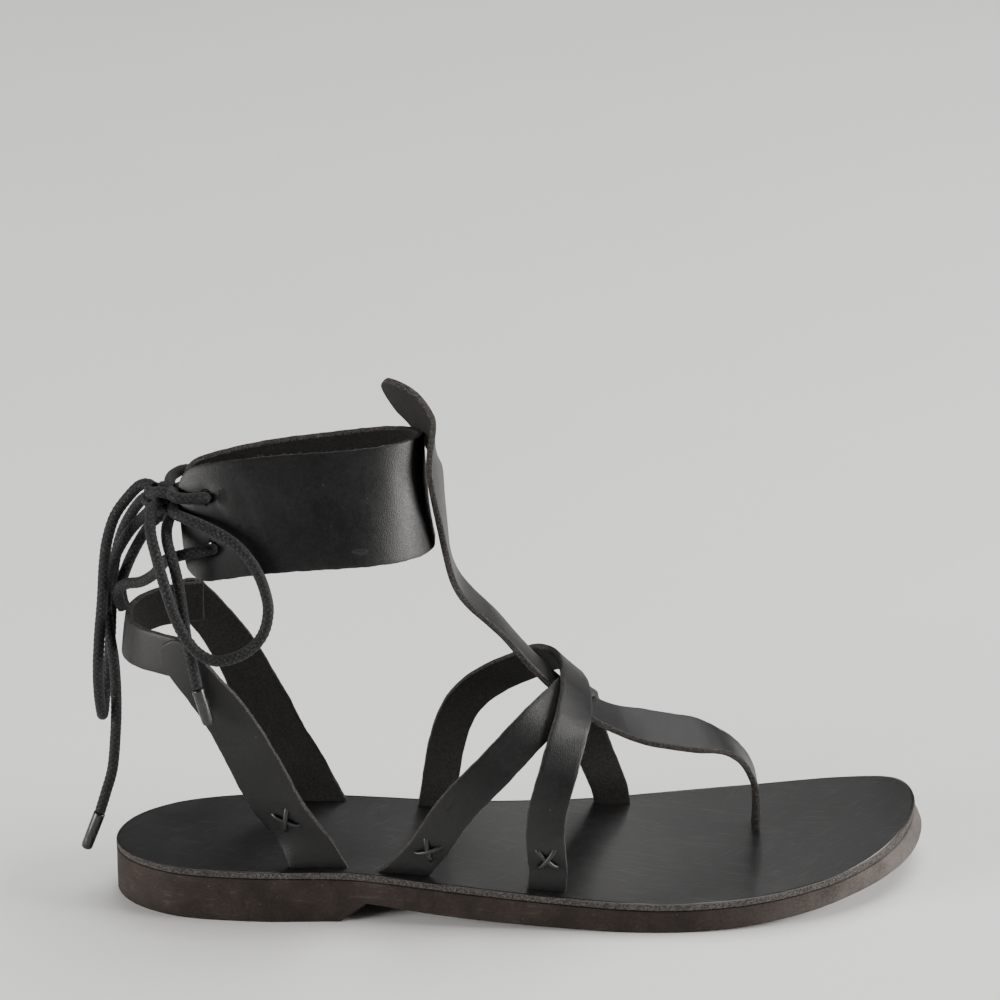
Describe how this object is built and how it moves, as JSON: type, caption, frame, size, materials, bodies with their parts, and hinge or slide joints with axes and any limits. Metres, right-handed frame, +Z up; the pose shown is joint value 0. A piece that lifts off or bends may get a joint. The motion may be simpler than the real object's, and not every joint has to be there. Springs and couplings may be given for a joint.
{
  "type": "wrap sandal",
  "caption": "Black leather thong sandal with crossed instep straps, heel straps and a wide ankle cuff, laced and tied behind the ankle.",
  "frame": {"origin": "on the floor, under the rearmost point of the heel, on the shoe's centre line", "axes": "+X from heel to toe, +Y to the inner (medial) side, +Z up"},
  "size_m": [0.2953, 0.0927, 0.1831],
  "materials": {
    "strap_leather": "smooth semi-matte black, raw cut edges",
    "footbed_leather": "smooth black, lightly scratched",
    "sole_rubber": "matte dark brown grey, buffed side",
    "braid": "round braided black cord",
    "aglet": "shiny black tip"
  },
  "bodies": {
    "root": {"outsole": "sole_rubber", "footbed": "footbed_leather", "toe_strap": "strap_leather", "instep_strap_under": "strap_leather", "instep_strap_over": "strap_leather", "heel_strap_lateral": "strap_leather", "heel_strap_medial": "strap_leather", "heel_back_band": "strap_leather", "ankle_cuff": "strap_leather", "lace_lower_bars": "braid", "lace_top_bar_lateral": "braid", "lace_top_bar_medial": "braid", "lace_knot": "braid", "lace_loop_lateral": "braid", "lace_loop_medial": "braid", "lace_end_lateral": "braid", "lace_end_medial": "braid", "lace_aglet_lateral": "aglet", "lace_aglet_medial": "aglet"}
  },
  "joints": []
}
